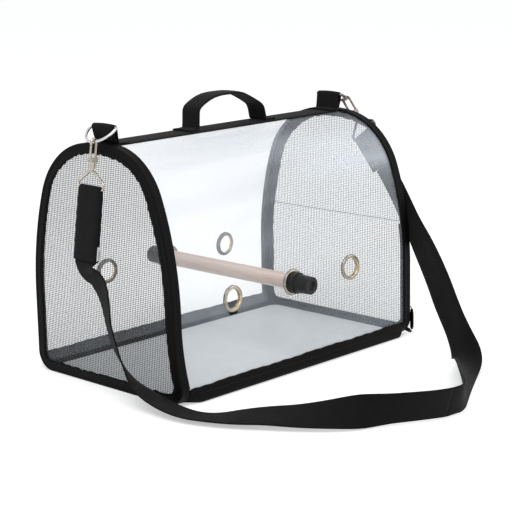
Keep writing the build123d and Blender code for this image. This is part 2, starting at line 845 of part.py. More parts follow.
# Slide of the strap, between the two layers of the near fold
with BuildPart() as strap_slide:
    with BuildSketch(slide_plane):
        RectangleRounded(slide_width, slide_length, slide_corner)
        slot = (slide_length - 3 * slide_bar) / 2
        for step in (-1, 1):
            with Locations((0, step * (slot + slide_bar) / 2)):
                RectangleRounded(slide_width - 2 * slide_bar, slot, slot_corner, mode=Mode.SUBTRACT)
    extrude(amount=slide_thickness / 2, both=True)
finish(strap_slide, "strap_slide")


def strap_core_radii(points):
    """Radius at each inner point: a share of its shorter run over the tangent of half its turn."""
    radii = []
    for before, here, after in zip(points, points[1:], points[2:]):
        first, second = Vector(here) - Vector(before), Vector(after) - Vector(here)
        half_turn = radians(first.get_angle(second)) / 2
        radii.append(bend_share * min(first.length, second.length) / tan(half_turn))
    return radii


strap_halves = {}
for end, sign, lead, route in (
    ("near", -1, near_line * near_lead, near_route),
    ("far", 1, far_line * far_lead, far_route),
):
    placed = [Vector(sign * (end_x + outside), y, z) for outside, y, z in route]
    strap_halves[end] = [strap_starts[end], strap_starts[end] + lead, *placed]
strap_meeting = (strap_halves["near"][-1] + strap_halves["far"][-1]) / 2

for end, half in strap_halves.items():
    points = [*half, strap_meeting]
    radii = strap_core_radii(points)
    with BuildPart() as strap_run:
        with BuildLine() as run_path:
            FilletPolyline(*points, radius=radii)
        core = run_path.wire()
        with BuildSketch(Plane(origin=core @ 0, z_dir=core % 0)):
            Circle(strap_core / 2)
        sweep(path=core)
    finish(strap_run, f"{end}_strap_run")
    print(end, "strap length", round(core.length, 1), "radii", [round(r) for r in radii])
    print(end, "strap points", [tuple(round(c, 1) for c in Vector(p)) for p in points])
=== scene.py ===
from math import asin, atan2, cos, hypot, pi, radians, sin, sqrt

import bmesh
import bpy
import numpy as np
from mathutils import Matrix, Vector


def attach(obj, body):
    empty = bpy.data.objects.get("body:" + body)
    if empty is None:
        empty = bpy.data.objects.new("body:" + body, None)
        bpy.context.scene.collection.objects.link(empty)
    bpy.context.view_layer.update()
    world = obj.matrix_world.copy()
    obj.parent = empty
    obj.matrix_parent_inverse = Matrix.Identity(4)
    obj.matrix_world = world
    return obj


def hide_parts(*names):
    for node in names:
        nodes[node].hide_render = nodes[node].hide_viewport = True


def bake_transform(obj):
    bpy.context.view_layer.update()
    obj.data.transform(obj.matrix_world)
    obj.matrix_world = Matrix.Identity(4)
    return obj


# Bird travel carrier: clear soft walls on two arched mesh ends, a perch, a zipped end flap,
# a webbing handle and a clip-on shoulder strap. Lengths below are in millimetres.

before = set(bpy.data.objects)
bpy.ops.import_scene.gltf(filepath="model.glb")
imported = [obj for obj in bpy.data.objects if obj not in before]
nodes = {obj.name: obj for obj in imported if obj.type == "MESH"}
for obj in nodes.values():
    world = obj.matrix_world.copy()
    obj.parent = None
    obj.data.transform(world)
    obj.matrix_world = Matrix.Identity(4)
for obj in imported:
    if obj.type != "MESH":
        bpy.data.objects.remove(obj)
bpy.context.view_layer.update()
MM = 0.001

# Camera first: everything else is judged through it
camera_data = bpy.data.cameras.new("camera")
camera_data.sensor_width = 36.0
camera_data.lens = 109.76
camera_data.clip_end = 50.0
camera = bpy.data.objects.new("camera", camera_data)
bpy.context.scene.collection.objects.link(camera)
right, down, ahead = (
    Vector((0.693525, -0.720179, -0.019118)),
    Vector((-0.169539, -0.137356, -0.975904)),
    Vector((0.700200, 0.680055, -0.217359)),
)
camera.matrix_world = Matrix.Translation((-1.39017, -1.40043, 0.56597)) @ Matrix(
    (right, -down, -ahead)
).transposed().to_4x4()
bpy.context.scene.camera = camera

# ---------------------------------------------------------------- sizes of the carrier
LENGTH, WIDTH, HEIGHT = 425.0, 265.0, 300.0
# Radii of the arch, and the level up to which its sides stand straight
CORNER, STRAIGHT_TOP, SIDE, SHOULDER, CROWN = 24.0, 100.0, 400.0, 100.0, 190.0
HALF, END = WIDTH / 2, LENGTH / 2
CROWN_Z = HEIGHT - CROWN
# Thickness and width of the end tapes, and where the walls between them begin
BINDING, BINDING_WIDTH, BOW_END = 3.0, 13.5, 198.5
# How far the near end's front side and the middle of the walls are drawn in
NEAR_BOW, MIDDLE_PINCH, PINCH_SPREAD, PINCHED_SHOULDER = 11.0, 16.0, 3.4, 80.0
FILM_FOOT, FLAP_TOP = 8.0, 155.0
ENDS = (("near", -1), ("far", 1))
WALLS = (("front", -1), ("rear", 1))


def steps(number, fine):
    """How many points an arc of the outline gets."""
    return max(3, int(number * fine))


def arch_turns(half, shoulder):
    """Angles at which the side arc and the shoulder arc end."""
    side_y = half - SIDE
    run, rise = -side_y, CROWN_Z - STRAIGHT_TOP
    span = hypot(run, rise)
    to_side, to_crown = SIDE - shoulder, CROWN - shoulder
    along = (to_side**2 - to_crown**2 + span**2) / (2 * span)
    across = sqrt(to_side**2 - along**2)
    cy = side_y + (along * run - across * rise) / span
    cz = STRAIGHT_TOP + (along * rise + across * run) / span
    return atan2(cz - STRAIGHT_TOP, cy - side_y), atan2(cz - CROWN_Z, cy), cy, cz


def arc(cy, cz, radius, start, stop, count):
    """Points and outward directions along an arc, first angle to last."""
    angles = np.linspace(start, stop, count)
    return [((cy + radius * cos(a), cz + radius * sin(a)), (cos(a), sin(a))) for a in angles]


def base_line(fine):
    """Under the base, from its middle to the corner."""
    return [((y, 0.0), (0.0, -1.0)) for y in np.linspace(0, HALF - CORNER, steps(14, fine))[:-1]]


def half_arch(fine=1.0, pinch=0.0):
    """The +Y side of the tunnel's outline from the middle of the base to the crown."""
    half = HALF - pinch
    shoulder = SHOULDER + (PINCHED_SHOULDER - SHOULDER) * pinch / MIDDLE_PINCH
    side_turn, crown_turn, cy, cz = arch_turns(half, shoulder)
    line = []
    if not pinch:
        line += base_line(fine)
        line += arc(HALF - CORNER, CORNER, CORNER, -pi / 2, 0, steps(9, fine))[:-1]
        upright = np.linspace(CORNER, STRAIGHT_TOP, steps(8, fine))[:-1]
        line += [((HALF, z), (1.0, 0.0)) for z in upright]
    line += arc(half - SIDE, STRAIGHT_TOP, SIDE, 0, side_turn, steps(12, fine))[:-1]
    line += arc(cy, cz, shoulder, side_turn, crown_turn, steps(14, fine))[:-1]
    line += arc(0, CROWN_Z, CROWN, crown_turn, pi / 2, steps(12, fine))
    return line


def bowed_half(fine, pinch):
    """One side whose upright is drawn inwards above a flared foot."""
    drop = STRAIGHT_TOP - CORNER
    flare = (drop**2 + pinch**2) / (2 * pinch)
    line = base_line(fine)
    line += arc(HALF - CORNER, CORNER, CORNER, -pi / 2, 0, steps(9, fine))
    for a in np.linspace(asin(drop / flare), 0, steps(8, fine))[1:-1]:
        place = (HALF - pinch + flare * (1 - cos(a)), STRAIGHT_TOP - flare * sin(a))
        line.append((place, (cos(a), sin(a))))
    return line + half_arch(fine, pinch)


def whole_arch(fine=1.0, front_bow=0.0):
    """Closed outline: up the +Y side, over the crown and down the -Y side."""
    up = half_arch(fine)
    down = bowed_half(fine, front_bow) if front_bow else up
    back = [((-y, z), (-ny, nz)) for (y, z), (ny, nz) in reversed(down)]
    return up + back[1:-1]


def end_arch(x, fine=3.0):
    """Outline of the end that a place lies nearer to: the near one is bowed in at its front."""
    return whole_arch(fine, NEAR_BOW if x < 0 else 0.0)


def wall_foot(pinch, inset):
    """The clear wall under the straight side: flared flank, then the curl at the foot."""
    waist = HALF - pinch - inset
    drop = STRAIGHT_TOP - CORNER
    points = []
    if pinch > 0.01:
        flare = (drop**2 + pinch**2) / (2 * pinch) + inset
        for a in np.linspace(0, asin(drop / flare), 9):
            points.append((waist + flare * (1 - cos(a)), STRAIGHT_TOP - flare * sin(a)))
    else:
        points = [(waist, z) for z in np.linspace(STRAIGHT_TOP, CORNER, 9)]
    curl = CORNER - inset
    y = points[-1][0]
    for a in np.linspace(0, asin((CORNER - FILM_FOOT) / curl), 6)[1:]:
        points.append((y - curl * (1 - cos(a)), CORNER - curl * sin(a)))
    return points[::-1]


def pinch_at(x, side):
    """How far a clear wall bows inwards at a place along the tunnel."""
    middle = max(0.0, 1 - abs(x / BOW_END) ** PINCH_SPREAD)
    ends = NEAR_BOW * (1 - middle) ** 2 if x < 0 and side < 0 else 0.0
    return MIDDLE_PINCH * middle + ends


# ---------------------------------------------------------------- mesh making
def new_piece(name, points, faces, uvs=None, smooth=True, material=None):
    """A mesh object at the origin from points in millimetres."""
    mesh = bpy.data.meshes.new(name)
    mesh.from_pydata([(x * MM, y * MM, z * MM) for x, y, z in points], [], faces)
    if uvs is not None:
        layer = mesh.uv_layers.new(name="cloth")
        corners = np.array([uvs[v] for f in faces for v in f], np.float32)
        layer.data.foreach_set("uv", corners.ravel())
    mesh.update()
    for polygon in mesh.polygons:
        polygon.use_smooth = smooth and len(polygon.vertices) < 6
    piece = bpy.data.objects.new(name, mesh)
    bpy.context.scene.collection.objects.link(piece)
    if material:
        mesh.materials.append(material)
    return piece


def grid_faces(rows, columns, wrap_rows=False, wrap_columns=False):
    """Four-sided faces of a grid of points that is stored row by row."""
    faces = []
    for i in range(rows if wrap_rows else rows - 1):
        for j in range(columns if wrap_columns else columns - 1):
            a, b = i * columns + j, i * columns + (j + 1) % columns
            c, d = (i + 1) % rows * columns + (j + 1) % columns, (i + 1) % rows * columns + j
            faces.append((a, b, c, d))
    return faces


def outward(piece):
    """Turns the faces of a closed piece outwards."""
    work = bmesh.new()
    work.from_mesh(piece.data)
    bmesh.ops.remove_doubles(work, verts=work.verts, dist=1e-6)
    bmesh.ops.recalc_face_normals(work, faces=work.faces)
    work.to_mesh(piece.data)
    work.free()
    return piece


def rounded_section(width, thickness, corner, across=6):
    """Section of webbing, as (across, off the face) pairs going round."""
    points = []
    half_w, half_t = width / 2, thickness / 2
    corner = min(corner, half_t * 0.98)
    flat = np.linspace(-half_w + corner, half_w - corner, across)
    points += [(a, -half_t) for a in flat]
    for a in np.linspace(-pi / 2, pi / 2, 7)[1:-1]:
        points.append((half_w - corner + corner * cos(a), half_t * sin(a)))
    points += [(a, half_t) for a in flat[::-1]]
    for a in np.linspace(pi / 2, 3 * pi / 2, 7)[1:-1]:
        points.append((-half_w + corner + corner * cos(a), half_t * sin(a)))
    return points


def band(name, line, wide, width, thickness, material,
         swell=None, across=6, droop=0.0, gather=False):
    """Webbing along a line of points; wide gives the direction of its width at each of them.
    Swell scales its width along the line, droop curves it down at its sides, and gather
    stops its inner edge from running back on itself in a tight turn."""
    line = [Vector(p) for p in line]
    wide = [Vector(w) for w in wide]
    section = rounded_section(width, thickness, 0.8, across)
    points, uvs, run, last = [], [], 0.0, {}
    for i, here in enumerate(line):
        tangent = (line[min(i + 1, len(line) - 1)] - line[max(i - 1, 0)]).normalized()
        side = (wide[i] - tangent * wide[i].dot(tangent)).normalized()
        face = tangent.cross(side)
        run += (here - line[i - 1]).length if i else 0.0
        scale = swell(i / (len(line) - 1)) if swell else 1.0
        for k, (a, b) in enumerate(section):
            p = here + side * a * scale + face * b
            p.z -= droop * a * a
            if gather and k in last and (p - last[k]).dot(tangent) < 0.05:
                p = last[k]
            last[k] = p
            points.append(tuple(p))
            uvs.append((run * MM, a * MM))
    count = len(section)
    faces = grid_faces(len(line), count, wrap_columns=True)
    faces.append(tuple(range(count)))
    faces.append(tuple(range((len(line) - 1) * count, len(line) * count))[::-1])
    return outward(new_piece(name, points, faces, uvs, True, material))


def lathe(name, profile, centre, axis, material, turns=48):
    """A closed profile of (radius, height) pairs turned about an axis through a centre."""
    axis = Vector(axis).normalized()
    first = axis.orthogonal().normalized()
    second = axis.cross(first)
    points, uvs = [], []
    for i in range(turns):
        turn = 2 * pi * i / turns
        spoke = first * cos(turn) + second * sin(turn)
        for j, (radius, rise) in enumerate(profile):
            points.append(tuple(Vector(centre) + spoke * radius + axis * rise))
            uvs.append((i / turns, j / (len(profile) - 1)))
    faces = grid_faces(turns, len(profile), wrap_rows=True, wrap_columns=True)
    return outward(new_piece(name, points, faces, uvs, True, material))


def arch_sweep(name, outline, profile, material, closed=True, sway=None):
    """A closed (inset, x) profile carried round the arch, its insets swayed along the way."""
    points, uvs, run, last = [], [], 0.0, None
    for (y, z), (ny, nz) in outline:
        run += hypot(y - last[0], z - last[1]) if last else 0.0
        last = (y, z)
        for inset, x in profile:
            if sway:
                inset = sway(run, inset)
            points.append((x, y - ny * inset, z - nz * inset))
            uvs.append((run * MM, (inset + abs(x)) * MM))
    count = len(profile)
    faces = grid_faces(len(outline), count, wrap_rows=closed, wrap_columns=True)
    if not closed:
        faces.append(tuple(range(count)))
        faces.append(tuple(range((len(outline) - 1) * count, len(outline) * count)))
    return outward(new_piece(name, points, faces, uvs, True, material))


def smooth_line(points, resolution=12):
    """Points read from the smooth line that the given points steer, in millimetres."""
    curve = bpy.data.curves.new("line", "CURVE")
    curve.dimensions = "3D"
    spline = curve.splines.new("NURBS")
    spline.points.add(len(points) - 1)
    for point, place in zip(spline.points, points):
        point.co = (*(c * MM for c in place), 1.0)
    spline.order_u = 3
    spline.use_endpoint_u = True
    spline.resolution_u = resolution
    holder = bpy.data.objects.new("line", curve)
    bpy.context.scene.collection.objects.link(holder)
    mesh = bpy.data.meshes.new_from_object(holder)
    read = [Vector(v.co) / MM for v in mesh.vertices]
    bpy.data.objects.remove(holder)
    bpy.data.meshes.remove(mesh)
    return read


# ---------------------------------------------------------------- repeated parts by nodes
def socket_of(tree, name):
    """Identifier of a tree's input, by which a modifier sets it."""
    inputs = (s for s in tree.interface.items_tree if s.in_out == "INPUT")
    return next(s.identifier for s in inputs if s.name == name)


def tree_with(name, inputs):
    """An empty tree from a line mesh to a result, with its group input and output nodes."""
    tree = bpy.data.node_groups.new(name, "GeometryNodeTree")
    tree.interface.new_socket(name="Line", in_out="INPUT", socket_type="NodeSocketGeometry")
    for label, kind in inputs:
        tree.interface.new_socket(name=label, in_out="INPUT", socket_type="NodeSocket" + kind)
    tree.interface.new_socket(name="Result", in_out="OUTPUT", socket_type="NodeSocketGeometry")
    return tree, tree.nodes.new("NodeGroupInput"), tree.nodes.new("NodeGroupOutput")


def thread_tree():
    """Every edge of the line mesh becomes a thread of square section."""
    tree, given, result = tree_with("threads", [("Thread width", "Float"), ("Finish", "Material")])
    add, link = tree.nodes.new, tree.links.new
    to_curve, to_mesh = add("GeometryNodeMeshToCurve"), add("GeometryNodeCurveToMesh")
    section, paint = add("GeometryNodeCurvePrimitiveQuadrilateral"), add("GeometryNodeSetMaterial")
    link(given.outputs["Line"], to_curve.inputs["Mesh"])
    link(given.outputs["Thread width"], section.inputs["Width"])
    link(given.outputs["Thread width"], section.inputs["Height"])
    link(to_curve.outputs["Curve"], to_mesh.inputs["Curve"])
    link(section.outputs["Curve"], to_mesh.inputs["Profile Curve"])
    to_mesh.inputs["Fill Caps"].default_value = True
    link(to_mesh.outputs["Mesh"], paint.inputs["Geometry"])
    link(given.outputs["Finish"], paint.inputs["Material"])
    link(paint.outputs["Geometry"], result.inputs["Result"])
    return tree


def row_tree():
    """Small rounded bits, such as stitches or zip teeth, set along the line at a pitch."""
    tree, given, result = tree_with(
        "row of bits",
        [("Pitch", "Float"), ("Bit size", "Vector"), ("Roundness", "Int"), ("Finish", "Material")],
    )
    add, link = tree.nodes.new, tree.links.new
    to_curve, spread = add("GeometryNodeMeshToCurve"), add("GeometryNodeCurveToPoints")
    spread.mode = "LENGTH"
    bit, place = add("GeometryNodeMeshIcoSphere"), add("GeometryNodeInstanceOnPoints")
    aim, real = add("FunctionNodeAlignRotationToVector"), add("GeometryNodeRealizeInstances")
    paint = add("GeometryNodeSetMaterial")
    aim.axis = "X"
    bit.inputs["Radius"].default_value = 0.5
    link(given.outputs["Line"], to_curve.inputs["Mesh"])
    link(to_curve.outputs["Curve"], spread.inputs["Curve"])
    link(given.outputs["Pitch"], spread.inputs["Length"])
    link(given.outputs["Roundness"], bit.inputs["Subdivisions"])
    link(spread.outputs["Points"], place.inputs["Points"])
    link(bit.outputs["Mesh"], place.inputs["Instance"])
    link(spread.outputs["Tangent"], aim.inputs["Vector"])
    link(aim.outputs["Rotation"], place.inputs["Rotation"])
    link(given.outputs["Bit size"], place.inputs["Scale"])
    link(place.outputs["Instances"], real.inputs["Geometry"])
    link(real.outputs["Geometry"], paint.inputs["Geometry"])
    link(given.outputs["Finish"], paint.inputs["Material"])
    link(paint.outputs["Geometry"], result.inputs["Result"])
    return tree


THREADS, ROWS = thread_tree(), row_tree()
STITCH_PITCH, STITCH_SIZE = 3.4, (2.5, 0.75, 0.6)


def grown(name, lines, tree, values, smooth=True):
    """Runs a node tree over polylines, in millimetres, and keeps its result as a plain mesh."""
    points, edges = [], []
    for line in lines:
        first = len(points)
        points += [(x * MM, y * MM, z * MM) for x, y, z in line]
        edges += [(first + i, first + i + 1) for i in range(len(line) - 1)]
    mesh = bpy.data.meshes.new(name)
    mesh.from_pydata(points, edges, [])
    piece = bpy.data.objects.new(name, mesh)
    bpy.context.scene.collection.objects.link(piece)
    modifier = piece.modifiers.new("made", "NODES")
    modifier.node_group = tree
    for label, value in values.items():
        modifier[socket_of(tree, label)] = value
    bpy.context.view_layer.update()
    grown_piece = piece.evaluated_get(bpy.context.evaluated_depsgraph_get())
    made = bpy.data.meshes.new_from_object(grown_piece)
    piece.modifiers.clear()
    piece.data = made
    for polygon in made.polygons:
        polygon.use_smooth = smooth
    return piece


def dress(piece, node, body):
    """Puts a piece in a node's place: hides the node and sets the piece on its body."""
    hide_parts(node)
    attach(piece, body)


def stitches(name, lines):
    """A row of stitches along each line, sewn to the bag."""
    piece = grown(name, lines, ROWS, {
        "Pitch": STITCH_PITCH * MM, "Bit size": tuple(s * MM for s in STITCH_SIZE),
        "Roundness": 1, "Finish": stitch_thread,
    })
    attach(piece, "bag")


# ---------------------------------------------------------------- finishes
def linear(*colour):
    """A screen colour of 0 to 255 in the linear numbers of a shader."""
    steep = lambda c: ((c + 0.055) / 1.055) ** 2.4
    return (*(steep(c / 255) if c > 10 else c / 255 / 12.92 for c in colour), 1.0)


class Finish:
    """A procedural material with its pattern nodes."""

    def __init__(self, name, colour, roughness, **sockets):
        self.material = bpy.data.materials.new(name)
        self.material.use_nodes = True
        self.nodes, self.links = self.material.node_tree.nodes, self.material.node_tree.links
        self.shader = self.nodes["Principled BSDF"]
        self.set("Base Color", linear(*colour))
        self.set("Roughness", roughness)
        for label, value in sockets.items():
            self.set(label.replace("_", " "), value)

    def set(self, label, value):
        self.shader.inputs[label].default_value = value

    def node(self, kind, **values):
        made = self.nodes.new("ShaderNode" + kind)
        for label, value in values.items():
            if label in made.inputs:
                made.inputs[label].default_value = value
            else:
                setattr(made, label, value)
        return made

    def join(self, source, target):
        self.links.new(source, target)

    def place(self, uv=False, stretch=(1, 1, 1), turn=(0, 0, 0)):
        """Object or UV coordinates in metres, stretched and turned."""
        mapping = self.node("Mapping")
        mapping.inputs["Scale"].default_value = stretch
        mapping.inputs["Rotation"].default_value = turn
        if uv:
            source = self.node("UVMap", uv_map="cloth").outputs["UV"]
        else:
            source = self.node("TexCoord").outputs["Object"]
        self.join(source, mapping.inputs["Vector"])
        return mapping.outputs["Vector"]

    def noise(self, vector, scale, detail=3.0, roughness=0.5):
        made = self.node("TexNoise", Scale=scale, Detail=detail, Roughness=roughness)
        self.join(vector, made.inputs["Vector"])
        return made.outputs["Fac"]

    def wave(self, vector, scale, direction="X", distortion=0.0):
        made = self.node("TexWave", Scale=scale, Distortion=distortion, bands_direction=direction)
        self.join(vector, made.inputs["Vector"])
        return made.outputs["Fac"]

    def sum(self, first, second, operation="ADD"):
        made = self.node("Math", operation=operation)
        for source, socket in ((first, made.inputs[0]), (second, made.inputs[1])):
            if isinstance(source, float):
                socket.default_value = source
            else:
                self.join(source, socket)
        return made.outputs[0]

    def spread(self, source, low, high, socket):
        """Maps a pattern to a range of a shader socket."""
        made = self.node("MapRange")
        made.inputs["To Min"].default_value = low
        made.inputs["To Max"].default_value = high
        self.join(source, made.inputs["Value"])
        self.join(made.outputs["Result"], self.shader.inputs[socket])

    def tint(self, source, low, high, first=0.3, last=0.7):
        """Runs the base colour between two colours with a pattern."""
        ramp = self.node("ValToRGB")
        start, stop = ramp.color_ramp.elements
        start.position, stop.position = first, last
        start.color, stop.color = linear(*low), linear(*high)
        self.join(source, ramp.inputs["Fac"])
        self.join(ramp.outputs["Color"], self.shader.inputs["Base Color"])

    def bump(self, source, height, strength=1.0):
        made = self.node("Bump", Strength=strength, Distance=height * MM)
        self.join(source, made.inputs["Height"])
        self.join(made.outputs["Normal"], self.shader.inputs["Normal"])


RIB, PICK = 1.9, 1.5


def webbing_finish(name, low, high):
    """Ribbed webbing: ribs along its length crossed by the picks of the weave."""
    f = Finish(name, low, 0.85, Sheen_Weight=0.03, Specular_IOR_Level=0.16)
    uv = f.place(uv=True)
    ribs, picks = f.wave(uv, 0.5 / (RIB * MM), "Y"), f.wave(uv, 0.5 / (PICK * MM), "X")
    weave = f.sum(ribs, picks, "MULTIPLY")
    worn = f.noise(uv, 60.0)
    f.tint(f.sum(f.sum(weave, 0.5, "MULTIPLY"), f.sum(worn, 0.6, "MULTIPLY")), low, high, 0.2, 0.8)
    f.bump(f.sum(weave, f.sum(f.noise(uv, 900.0), 0.3, "MULTIPLY")), 0.28, 0.8)
    return f.material


def tape_finish(name, low, high, grain=1400.0, height=0.12, roughness=0.62, gloss=0.25):
    """Plain woven tape or cloth on the piece's own coordinates."""
    f = Finish(name, low, roughness, Specular_IOR_Level=gloss)
    place = f.place()
    fine = f.noise(place, grain, 2.0)
    soft = f.noise(place, 45.0, 3.0)
    f.tint(f.sum(f.sum(fine, 0.4, "MULTIPLY"), f.sum(soft, 0.6, "MULTIPLY")), low, high)
    f.spread(soft, roughness - 0.1, roughness + 0.12, "Roughness")
    f.bump(f.sum(fine, f.sum(soft, 0.8, "MULTIPLY")), height)
    return f.material


def metal_finish(name, low, high, roughness, **sockets):
    """Plated or lacquered metal with a little wear."""
    f = Finish(name, low, roughness, Metallic=1.0, **sockets)
    place = f.place()
    wear = f.noise(place, 120.0, 4.0, 0.6)
    f.tint(wear, low, high, 0.35, 0.65)
    f.spread(f.noise(place, 700.0, 2.0), roughness - 0.06, roughness + 0.1, "Roughness")
    f.bump(wear, 0.02, 0.5)
    return f.material


def film_finish():
    """Clear soft vinyl: a pale cloudy haze, glossy, with faint streaky bands of painted glare, lamp
    reflections drawn into its alpha.
    """
    f = Finish("clear film", (236, 245, 255), 0.1, Specular_IOR_Level=0.5)
    place = f.place(stretch=(1.0, 1.0, 2.2), turn=(0, 0.25, 0))
    clouds = f.noise(place, 9.0, 2.0, 0.4)
    apart = f.node("SeparateXYZ")
    f.join(f.node("TexCoord").outputs["Object"], apart.inputs["Vector"])
    # Painted glare: streaky noise that stands in for the lamps' reflections
    painted_glare = f.noise(f.place(stretch=(2.0, 2.0, 26.0), turn=(0, -0.3, 0)), 1.0, 1.5, 0.4)
    # The painted glare is held to the upper far part of the walls
    ranges = []
    for source, start, stop, low, high in (
        (apart.outputs["Z"], 0.13, 0.28, 0.0, 1.0),
        (apart.outputs["X"], -0.14, 0.2, 0.0, 1.0),
        (painted_glare, 0.42, 0.85, 0.0, 0.5),
        (clouds, 0.0, 1.0, 0.06, 0.14),
    ):
        made = f.node("MapRange")
        f.join(source, made.inputs["Value"])
        limits = {"From Min": start, "From Max": stop, "To Min": low, "To Max": high}
        for label, value in limits.items():
            made.inputs[label].default_value = value
        ranges.append(made.outputs["Result"])
    tall, along, light, haze = ranges
    # Painted glare kept where the wall is high and far, added to the haze
    light = f.sum(f.sum(tall, along, "MULTIPLY"), light, "MULTIPLY")
    f.join(f.sum(light, haze), f.shader.inputs["Alpha"])
    f.bump(f.noise(f.place(stretch=(1, 1, 1.6)), 6.0, 1.0), 1.6, 0.3)
    return f.material


def wood_finish():
    """Pale sanded wood, its grain along the perch."""
    f = Finish("perch wood", (238, 214, 200), 0.55, Specular_IOR_Level=0.4)
    place = f.place(stretch=(1.0, 0.08, 1.0))
    grain = f.noise(place, 260.0, 5.0, 0.6)
    rings = f.wave(f.place(stretch=(1, 0.15, 1)), 28.0, "X", 3.0)
    figure = f.sum(f.sum(grain, 0.7, "MULTIPLY"), f.sum(rings, 0.3, "MULTIPLY"))
    f.tint(figure, (222, 188, 170), (248, 228, 214))
    f.bump(grain, 0.1, 0.6)
    return f.material


def eyelet_finish():
    """Plated eyelet: warm at the bore, greyer towards the rim."""
    f = Finish("plated eyelet", (170, 160, 140), 0.25, Metallic=1.0)
    uv = f.node("UVMap", uv_map="cloth").outputs["UV"]
    split = f.node("SeparateXYZ")
    f.join(uv, split.inputs["Vector"])
    f.tint(split.outputs["Y"], (205, 186, 150), (150, 148, 146), 0.1, 0.4)
    f.spread(f.noise(f.place(), 900.0), 0.18, 0.34, "Roughness")
    f.bump(f.noise(f.place(), 400.0), 0.02, 0.5)
    return f.material


webbing = webbing_finish("black webbing", (3, 3, 3), (19, 19, 18))
binding_tape = tape_finish("binding tape", (2, 2, 2), (11, 11, 12), 1100.0, 0.14, 0.6, 0.09)
base_cloth = tape_finish("base cloth", (6, 6, 7), (24, 24, 26), 1500.0, 0.15, 0.8)
zip_tape = tape_finish("zip tape", (5, 5, 5), (20, 20, 21), 1700.0, 0.12, 0.75)
zip_coil = tape_finish("zip coil", (6, 6, 6), (20, 20, 21), 600.0, 0.02, 0.35, 0.4)
mesh_thread = tape_finish("mesh thread", (62, 64, 66), (90, 92, 94), 900.0, 0.02, 0.6)
stitch_thread = tape_finish("stitch thread", (10, 10, 10), (32, 32, 33), 1200.0, 0.03, 0.6)
cap_rubber = tape_finish("cap rubber", (4, 4, 4), (20, 20, 20), 700.0, 0.06, 0.45, 0.4)
board_grey = tape_finish("floor board", (226, 231, 234), (238, 242, 244), 500.0, 0.05, 0.45)
hoop_steel = metal_finish("hoop wire", (24, 24, 25), (40, 40, 41), 0.45)
warm_nickel = metal_finish("warm nickel", (176, 166, 150), (206, 198, 186), 0.22)
# A shaded copy of the nickel: painted shade that darkens the far hook and D-ring, the same hardware
# as at the near end
shaded_nickel = metal_finish("shaded nickel", (74, 71, 66), (122, 117, 108), 0.26)
bright_nickel = metal_finish("bright nickel", (190, 190, 190), (216, 216, 217), 0.2)
black_lacquer = metal_finish(
    "black lacquer", (22, 22, 23), (46, 46, 48), 0.28, Coat_Weight=0.5, Coat_Roughness=0.15
)
clear_film = film_finish()
perch_wood = wood_finish()
plated = eyelet_finish()

for finish, names in (
    (bright_nickel, ("near_d_ring", "strap_slide")),
    (warm_nickel, ("near_hook_body", "near_hook_gate", "near_hook_eye")),
    # The far hardware takes the nickel darkened by painted shade
    (shaded_nickel, ("far_d_ring", "far_hook_body", "far_hook_gate", "far_hook_eye")),
    (black_lacquer, ("upper_slider", "lower_slider", "upper_pull", "lower_pull")),
    (hoop_steel, ("far_hoop",)),
    (perch_wood, ("perch_rod",)),
    (cap_rubber, ("front_perch_cap", "rear_perch_cap")),
    (board_grey, ("floor_board",)),
    (base_cloth, ("base_panel",)),
):
    for node in names:
        nodes[node].data.materials.clear()
        nodes[node].data.materials.append(finish)

# ---------------------------------------------------------------- shoulder strap
STRAP, WEB, FOLD_PUFF = 38.0, 1.9, 2.3
# Places along each half, from its fold to the ground, with the direction of its width there
near_run = [
    ((-240.0, -3.0, 164.0), (0, 1, 0.1)), ((-241.7, -2.9, 151.1), (0.2, 0.97, -0.1)),
    ((-235.5, -20.8, 140.5), (0.27, 0.78, -0.52)), ((-236.0, -30.6, 119.0), (0.39, 0.83, -0.41)),
    ((-237.1, -35.5, 90.7), (0.52, 0.78, -0.34)), ((-234.8, -44.7, 60.5), (0.53, 0.77, -0.35)),
    ((-233.0, -61.3, 35.5), (0.70, 0.47, -0.54)), ((-233.4, -89.8, 17.9), (0.96, 0.11, -0.27)),
    ((-234.1, -128.0, 8.9), (0.99, 0.01, -0.16)), ((-231.8, -163.1, 5.2), (0.98, 0.14, -0.11)),
    ((-222.0, -191.8, 5.7), (0.94, 0.34, -0.06)), ((-206.7, -222.2, 9.6), (0.85, 0.50, 0.15)),
    ((-190.8, -247.1, 12.6), (0.78, 0.57, 0.24)), ((-169.8, -280.6, 13.9), (0.70, 0.58, 0.42)),
    ((-143.7, -316.1, 18.1), (0.58, 0.36, 0.70)), ((-114.5, -347.9, 22.0), (0.06, -0.22, 0.95)),
    ((-85.2, -368.8, 22.4), (-0.05, -0.24, 0.97)), ((-57.8, -383.2, 21.6), (-0.08, -0.27, 0.96)),
    ((-40.0, -387.0, 20.5), (-0.04, -0.26, 0.96)),
]
far_run = [
    ((221.5, -77.1, 225.7), (0.26, 0.72, -0.64)),
    ((222.1, -95.1, 201.7), (0.25, 0.72, -0.65)),
    ((219.8, -115.8, 172.0), (0.22, 0.74, -0.64)),
    ((215.0, -136.7, 145.1), (0.20, 0.77, -0.61)),
    ((193.1, -174.7, 119.1), (0.09, 0.85, -0.52)),
    ((174.9, -205.4, 95.3), (0.08, 0.92, -0.39)),
    ((157.2, -233.8, 69.5), (0.12, 0.98, -0.17)),
    ((142.8, -264.0, 39.9), (-0.04, 0.78, -0.58)),
    ((129.9, -287.7, 16.9), (-0.35, 0.85, -0.10)),
    ((99.8, -305.8, 14.4), (-0.35, 0.66, 0.62)),
    ((59.2, -334.6, 19.3), (-0.22, 0.45, 0.87)),
    ((24.2, -359.6, 20.6), (-0.11, 0.27, 0.96)),
    ((-4.4, -382.1, 20.7), (-0.11, -0.07, 0.99)),
    ((-26.0, -391.9, 21.4), (-0.01, -0.30, 0.95)),
    ((-41.5, -386.4, 20.5), (-0.03, -0.26, 0.97)),
]


